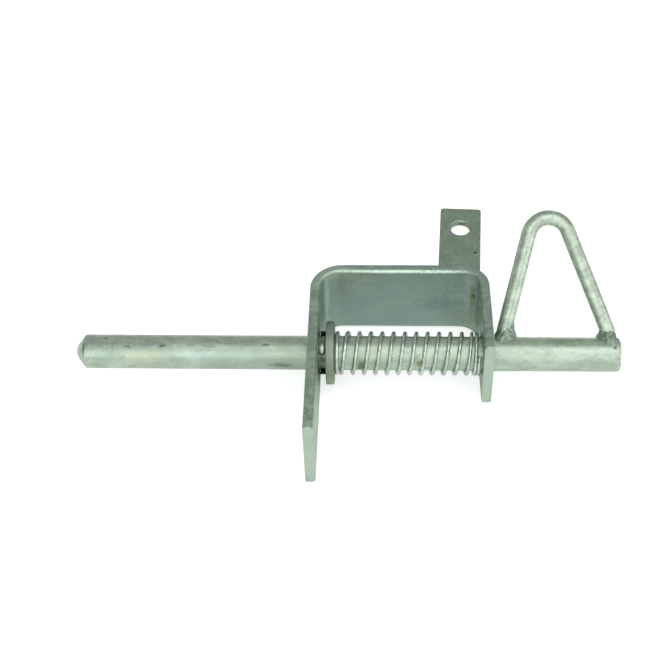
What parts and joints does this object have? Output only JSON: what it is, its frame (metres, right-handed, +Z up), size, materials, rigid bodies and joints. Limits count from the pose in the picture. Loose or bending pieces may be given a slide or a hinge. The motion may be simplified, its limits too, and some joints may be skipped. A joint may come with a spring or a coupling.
{
  "type": "spring gate latch",
  "caption": "Spring-loaded round bolt with a loop handle, sliding in a bent flat-bar bracket with a pierced fixing lug behind it.",
  "frame": {"origin": "middle of the web's lower edge, midway between the legs and in the middle of the strip's thickness", "axes": "+X along the bolt from the domed nose to the handle, +Y out of the back of the web, +Z up across the strip's width"},
  "size_m": [0.2599, 0.1433, 0.0671],
  "materials": {
    "zinc_bracket": "dull galvanised steel, mottled",
    "zinc_lug": "dull galvanised steel, grey",
    "zinc_lug_weld": "galvanised weld bead",
    "zinc_bolt": "galvanised steel, satin, faint marks along the bar",
    "zinc_pin": "zinc-plated wire",
    "zinc_washer": "dull zinc plating, brownish on one side",
    "zinc_spring": "bright zinc-plated wire",
    "zinc_handle": "galvanised steel, satin",
    "zinc_handle_weld_inner": "galvanised weld bead",
    "zinc_handle_weld_outer": "galvanised weld bead"
  },
  "bodies": {
    "bracket": {"bracket": "zinc_bracket", "lug": "zinc_lug", "lug_weld": "zinc_lug_weld", "spring": "zinc_spring"},
    "washer": {"washer": "zinc_washer"},
    "bolt": {"bolt": "zinc_bolt", "split_pin": "zinc_pin", "handle": "zinc_handle", "handle_weld_inner": "zinc_handle_weld_inner", "handle_weld_outer": "zinc_handle_weld_outer"}
  },
  "joints": [
    {"name": "bolt_slide", "type": "slide", "parent": "bracket", "child": "washer", "axis": [1, 0, 0], "range_m": [0, 0.042], "stiffness_N_per_m": 1290, "springref_m": -0.02, "deforming": ["spring"]},
    {"name": "bolt_turn", "type": "hinge", "parent": "washer", "child": "bolt", "pos_m": [0, -0.0376, 0.02], "axis": [1, 0, 0], "continuous": true}
  ]
}
